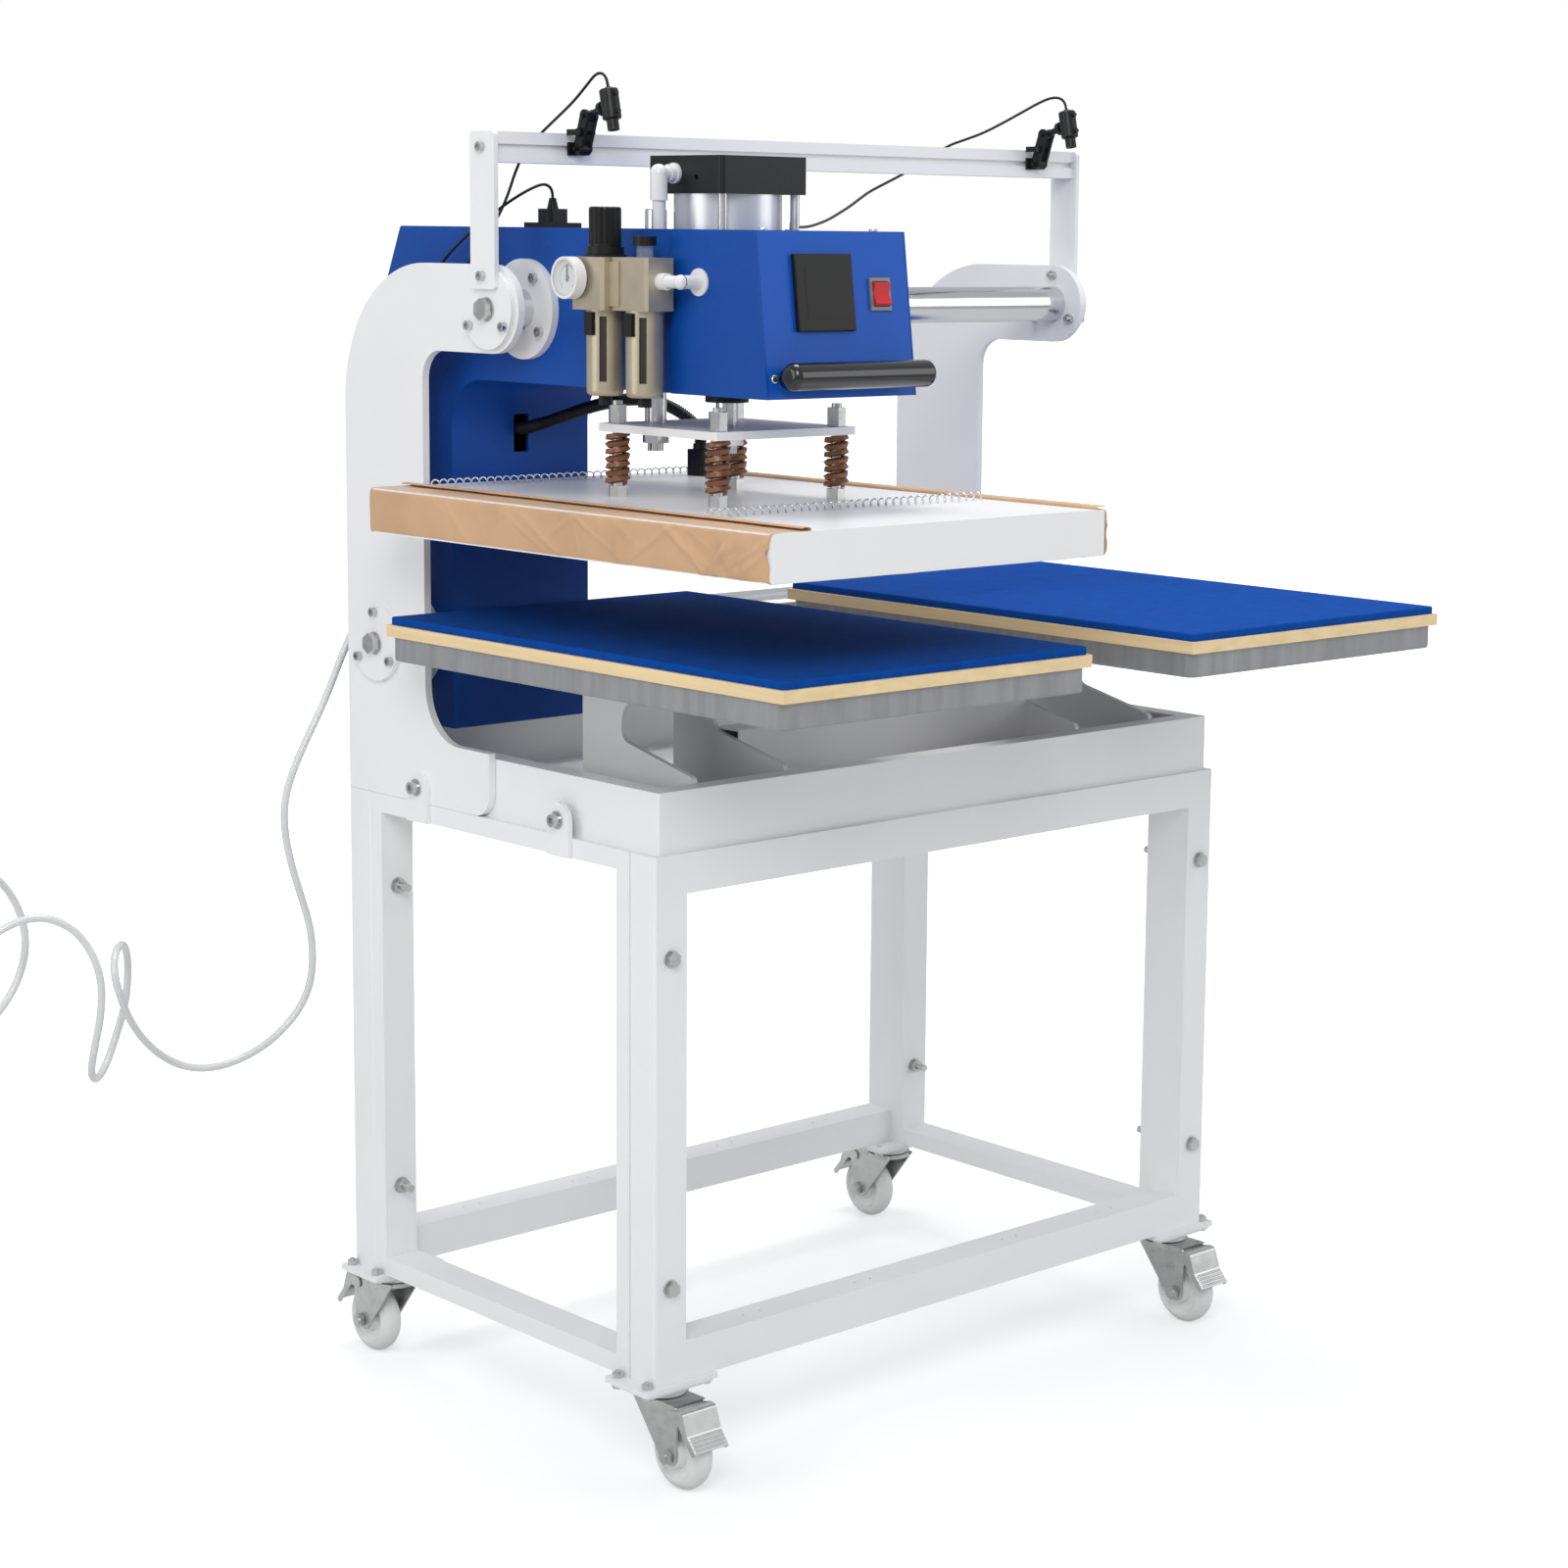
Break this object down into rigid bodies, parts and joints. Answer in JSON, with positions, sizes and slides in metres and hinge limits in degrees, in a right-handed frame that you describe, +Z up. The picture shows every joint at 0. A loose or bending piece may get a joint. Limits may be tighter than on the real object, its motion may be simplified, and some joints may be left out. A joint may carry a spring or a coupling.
{
  "type": "dual station heat press",
  "caption": "Pneumatic heat press whose head slides between two stations, on a wheeled open stand with a tool tray.",
  "frame": {"origin": "on the floor, under the middle of the machine without its cords", "axes": "+X to the right along the front, +Y to the back, +Z up"},
  "size_m": [1.4297, 0.9501, 1.3901],
  "materials": {
    "frame_white": "satin powder coat",
    "platen_white": "satin powder coat",
    "head_blue": "satin powder coat",
    "panel_blue": "satin foil",
    "zinc": "zinc plated",
    "hard_chrome": "ground and polished",
    "casting_grey": "painted casting",
    "board_wood": "cream board",
    "pad_blue": "foam sheet",
    "clear_hose": "milky clear",
    "cable_black": "smooth",
    "screen_black": "gloss",
    "bezel_grey": "moulded",
    "handle_black": "gloss",
    "bearing_steel": "nickel plated",
    "cylinder_aluminium": "anodised",
    "filter_metal": "champagne metallic paint",
    "gauge_white": "gloss",
    "fitting_white": "gloss",
    "conduit_black": "ribbed",
    "rocker_red": "gloss",
    "spring_copper": "copper brown paint",
    "heater_aluminium": "cast",
    "sleeve_tan": "coated glass fabric",
    "spring_steel": "bright",
    "wheel_white": "moulded",
    "pedal_steel": "zinc plated",
    "laser_black": "black anodised"
  },
  "bodies": {
    "stand": {"long_frames": "frame_white", "end_frames": "frame_white", "stand_fasteners": "zinc", "caster_plates": "zinc", "tray": "frame_white", "side_plates": "frame_white", "platen_brackets": "frame_white", "lower_platens": "casting_grey", "platen_boards": "board_wood", "platen_pads": "pad_blue", "guide_shafts": "hard_chrome", "shaft_discs": "frame_white", "laser_posts": "frame_white", "laser_bar": "frame_white", "air_hose": "clear_hose", "air_hose_coil": "clear_hose", "laser_cables": "cable_black"},
    "head": {"head_frame": "head_blue", "control_panel": "panel_blue", "touch_screen": "screen_black", "switch_bezel": "bezel_grey", "handle": "handle_black", "flange_bearings": "bearing_steel", "head_fasteners": "zinc", "air_cylinder": "cylinder_aluminium", "filter_blocks": "filter_metal", "filter_bowls": "filter_metal", "pressure_gauge": "gauge_white", "air_fittings": "fitting_white", "power_plug": "handle_black", "conduit": "conduit_black"},
    "rocker": {"switch_rocker": "rocker_red"},
    "knob": {"regulator_knob": "handle_black"},
    "needle": {"gauge_needle": "conduit_black"},
    "press": {"press_plate": "frame_white", "piston_rod": "hard_chrome", "guide_rod": "hard_chrome", "press_springs": "spring_copper"},
    "heat_platen": {"heat_platen_cover": "platen_white", "heating_plate": "heater_aluminium", "platen_sleeve": "sleeve_tan", "sleeve_springs": "spring_steel", "platen_bolts": "zinc", "terminal_block": "conduit_black"},
    "caster_front_left": {"fork_front_left": "zinc"},
    "wheel_front_left": {"wheel_front_left": "wheel_white"},
    "pedal_front_left": {"brake_pedal_front_left": "pedal_steel"},
    "caster_front_right": {"fork_front_right": "zinc"},
    "wheel_front_right": {"wheel_front_right": "wheel_white"},
    "pedal_front_right": {"brake_pedal_front_right": "pedal_steel"},
    "caster_back_left": {"fork_back_left": "zinc"},
    "wheel_back_left": {"wheel_back_left": "wheel_white"},
    "pedal_back_left": {"brake_pedal_back_left": "pedal_steel"},
    "caster_back_right": {"fork_back_right": "zinc"},
    "wheel_back_right": {"wheel_back_right": "wheel_white"},
    "pedal_back_right": {"brake_pedal_back_right": "pedal_steel"},
    "left_laser_arm": {"left_laser_arm": "laser_black"},
    "left_lamp": {"left_laser": "laser_black"},
    "right_laser_arm": {"right_laser_arm": "laser_black"},
    "right_lamp": {"right_laser": "laser_black"}
  },
  "joints": [
    {"name": "head_slide", "type": "slide", "parent": "stand", "child": "head", "axis": [1, 0, 0], "range_m": [0, 0.544], "deforming": ["air_hose", "laser_cables"]},
    {"name": "press_slide", "type": "slide", "parent": "head", "child": "press", "axis": [0, 0, -1], "range_m": [0, 0.085], "deforming": ["conduit"]},
    {"name": "platen_float", "type": "slide", "parent": "press", "child": "heat_platen", "axis": [0, 0, 1], "range_m": [0, 0.005], "stiffness_N_per_m": 30000, "deforming": ["press_springs", "conduit"]},
    {"name": "rocker_hinge", "type": "hinge", "parent": "head", "child": "rocker", "pos_m": [-0.2073, -0.25943, 1.17796], "axis": [1, 0, 0], "range_deg": [-8, 8]},
    {"name": "knob_turn", "type": "hinge", "parent": "head", "child": "knob", "pos_m": [-0.3863, -0.067, 1.2223], "axis": [0, 0, 1], "continuous": true},
    {"name": "needle_turn", "type": "hinge", "parent": "head", "child": "needle", "pos_m": [-0.4215, -0.053, 1.19], "axis": [1, 0, 0], "range_deg": [-135, 135]},
    {"name": "swivel_front_left", "type": "hinge", "parent": "stand", "child": "caster_front_left", "pos_m": [-0.3663, -0.13, 0.095], "axis": [0, 0, 1], "continuous": true},
    {"name": "roll_front_left", "type": "hinge", "parent": "caster_front_left", "child": "wheel_front_left", "pos_m": [-0.3663, -0.164, 0.0375], "axis": [1, 0, 0], "continuous": true},
    {"name": "brake_front_left", "type": "hinge", "parent": "caster_front_left", "child": "pedal_front_left", "pos_m": [-0.3663, -0.169, 0.079], "axis": [-1, 0, 0], "range_deg": [0, 18]},
    {"name": "swivel_front_right", "type": "hinge", "parent": "stand", "child": "caster_front_right", "pos_m": [0.3837, -0.13, 0.095], "axis": [0, 0, 1], "continuous": true},
    {"name": "roll_front_right", "type": "hinge", "parent": "caster_front_right", "child": "wheel_front_right", "pos_m": [0.3837, -0.164, 0.0375], "axis": [1, 0, 0], "continuous": true},
    {"name": "brake_front_right", "type": "hinge", "parent": "caster_front_right", "child": "pedal_front_right", "pos_m": [0.3837, -0.169, 0.079], "axis": [-1, 0, 0], "range_deg": [0, 18]},
    {"name": "swivel_back_left", "type": "hinge", "parent": "stand", "child": "caster_back_left", "pos_m": [-0.3663, 0.336, 0.095], "axis": [0, 0, 1], "continuous": true},
    {"name": "roll_back_left", "type": "hinge", "parent": "caster_back_left", "child": "wheel_back_left", "pos_m": [-0.3663, 0.37, 0.0375], "axis": [1, 0, 0], "continuous": true},
    {"name": "brake_back_left", "type": "hinge", "parent": "caster_back_left", "child": "pedal_back_left", "pos_m": [-0.3663, 0.375, 0.079], "axis": [1, 0, 0], "range_deg": [0, 18]},
    {"name": "swivel_back_right", "type": "hinge", "parent": "stand", "child": "caster_back_right", "pos_m": [0.3837, 0.336, 0.095], "axis": [0, 0, 1], "continuous": true},
    {"name": "roll_back_right", "type": "hinge", "parent": "caster_back_right", "child": "wheel_back_right", "pos_m": [0.3837, 0.37, 0.0375], "axis": [1, 0, 0], "continuous": true},
    {"name": "brake_back_right", "type": "hinge", "parent": "caster_back_right", "child": "pedal_back_right", "pos_m": [0.3837, 0.375, 0.079], "axis": [1, 0, 0], "range_deg": [0, 18]},
    {"name": "left_arm_tilt", "type": "hinge", "parent": "stand", "child": "left_laser_arm", "pos_m": [-0.3033, 0.0745, 1.315], "axis": [1, 0, 0], "range_deg": [-10, 25], "deforming": ["laser_cables"]},
    {"name": "left_lamp_tilt", "type": "hinge", "parent": "left_laser_arm", "child": "left_lamp", "pos_m": [-0.3033, 0.06343, 1.34715], "axis": [1, 0, 0], "range_deg": [-30, 30], "deforming": ["laser_cables"]},
    {"name": "right_arm_tilt", "type": "hinge", "parent": "stand", "child": "right_laser_arm", "pos_m": [0.3527, 0.0745, 1.315], "axis": [1, 0, 0], "range_deg": [-10, 25], "deforming": ["laser_cables"]},
    {"name": "right_lamp_tilt", "type": "hinge", "parent": "right_laser_arm", "child": "right_lamp", "pos_m": [0.3527, 0.06343, 1.34715], "axis": [1, 0, 0], "range_deg": [-30, 30], "deforming": ["laser_cables"]}
  ]
}
